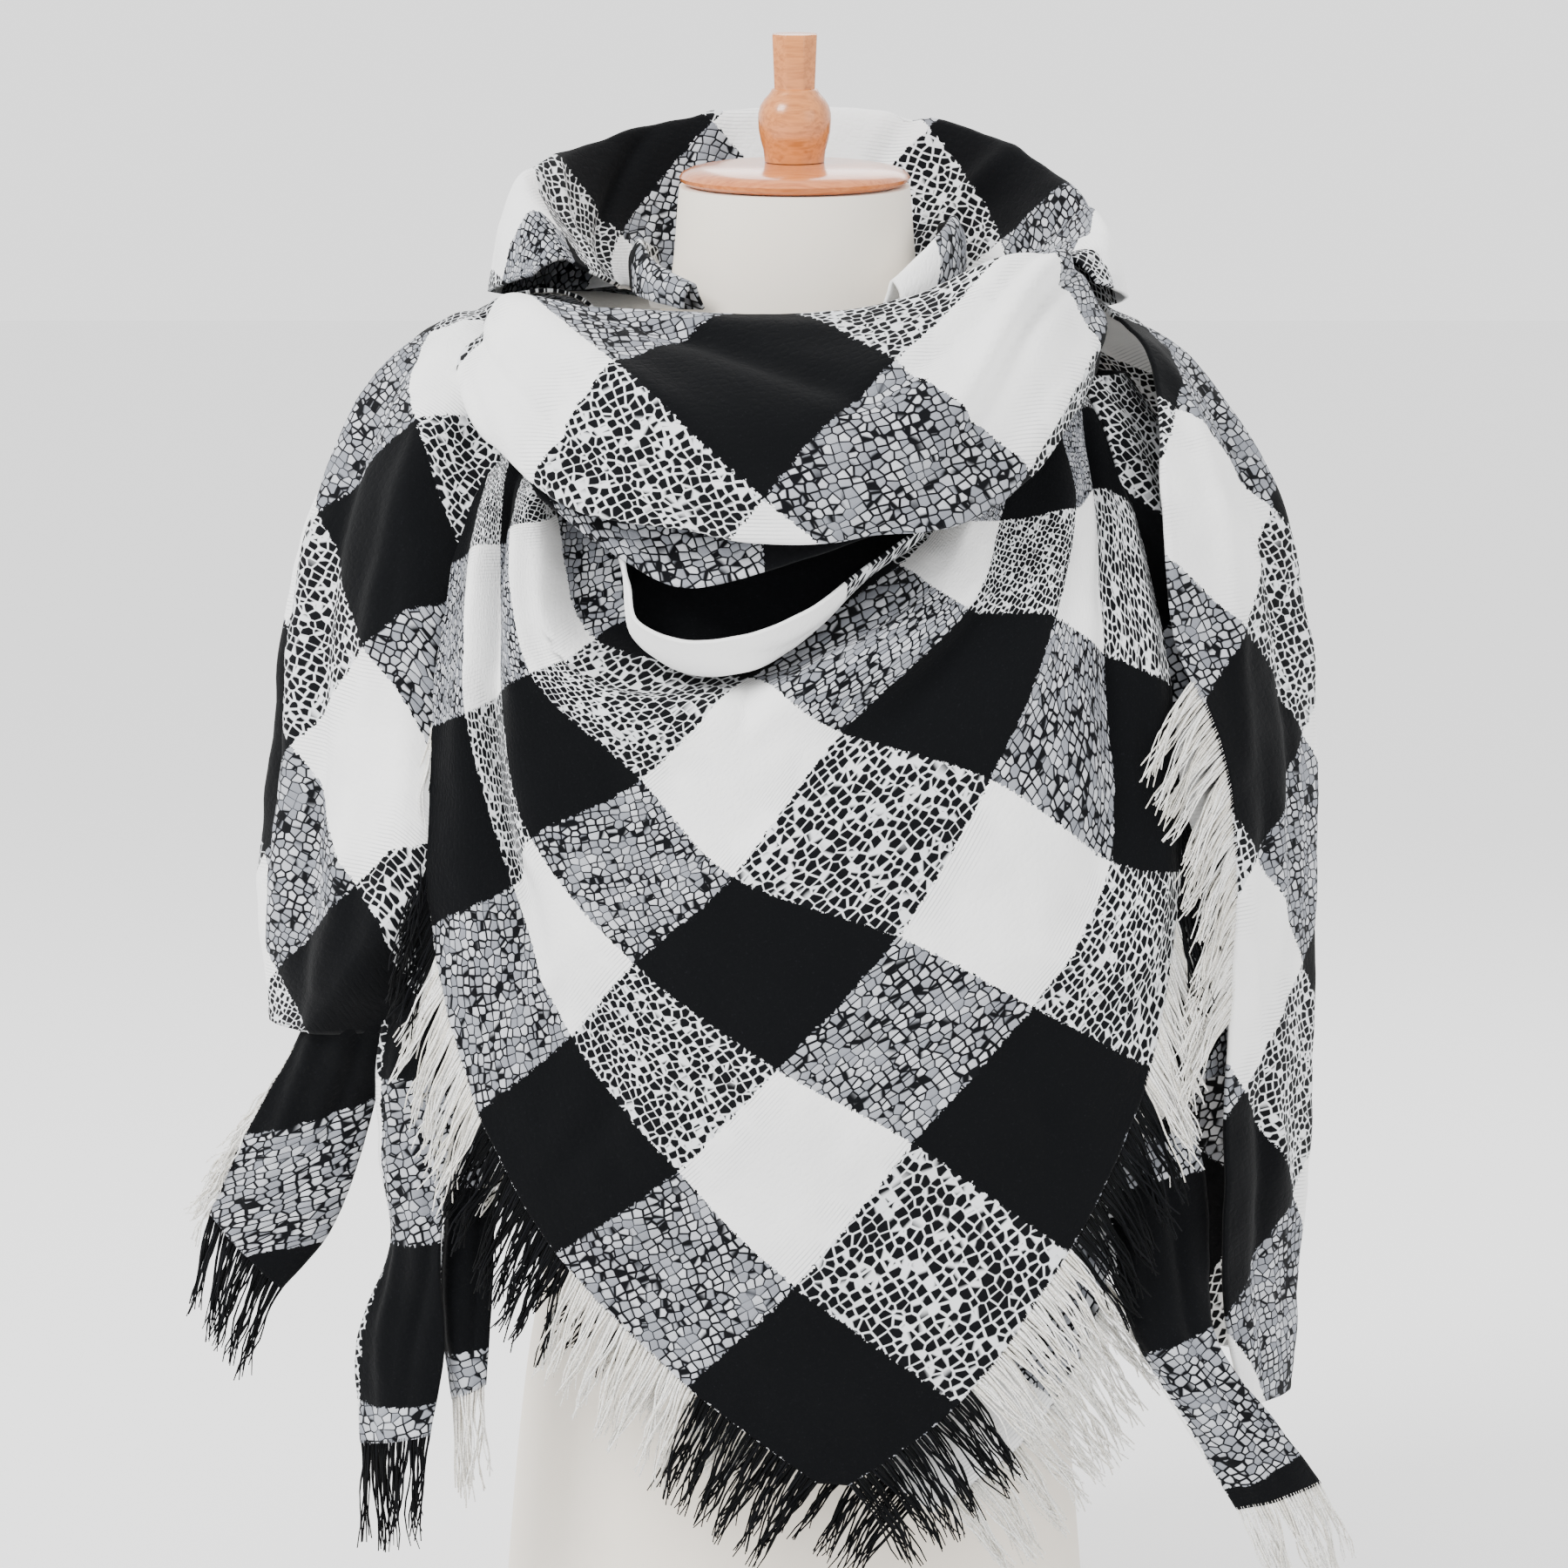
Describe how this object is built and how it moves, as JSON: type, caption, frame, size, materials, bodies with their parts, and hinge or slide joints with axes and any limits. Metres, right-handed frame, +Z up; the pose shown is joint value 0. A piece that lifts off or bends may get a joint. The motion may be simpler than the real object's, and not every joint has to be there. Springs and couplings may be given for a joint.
{
  "type": "blanket scarf on dress form",
  "caption": "Black and white buffalo-check blanket scarf with frayed edges, folded to a triangle and wound round the neck of a limbless countertop dress form with a wooden cap and finial.",
  "frame": {"origin": "centre of the dress form's flat underside, on the surface it stands on", "axes": "+Z up, -Y is the front with the hanging triangle, +X is to the viewer's right"},
  "size_m": [0.6048, 0.345, 0.8645],
  "materials": {
    "check_cloth": "brushed basket-weave acrylic in black and white checks",
    "fringe_yarn": "frayed loose yarn ends",
    "form_cover": "smooth off-white jersey cover",
    "turned_wood": "clear satin varnish"
  },
  "bodies": {
    "root": {"form_torso": "form_cover", "form_cap": "turned_wood", "form_finial": "turned_wood", "bib_front": "check_cloth", "bib_under": "check_cloth", "bib_fringe_left": "fringe_yarn", "bib_fringe_right": "fringe_yarn", "under_fringe_left": "fringe_yarn", "under_fringe_right": "fringe_yarn", "cowl_flap": "check_cloth", "cowl_roll": "check_cloth", "cowl_swag": "check_cloth", "collar": "check_cloth", "neck_fold_left": "check_cloth", "neck_fold_right": "check_cloth", "shoulder_left": "check_cloth", "shoulder_right": "check_cloth", "shoulder_right_inner": "check_cloth", "shoulder_right_fringe": "fringe_yarn", "nape_wrap": "check_cloth", "nape_cross": "check_cloth", "tail_left_outer": "check_cloth", "tail_left_outer_fringe": "fringe_yarn", "tail_left_inner": "check_cloth", "tail_left_inner_fringe": "fringe_yarn", "tail_left_fold": "check_cloth", "tail_left_fold_fringe": "fringe_yarn", "tail_right": "check_cloth", "tail_right_fringe": "fringe_yarn"}
  },
  "joints": []
}
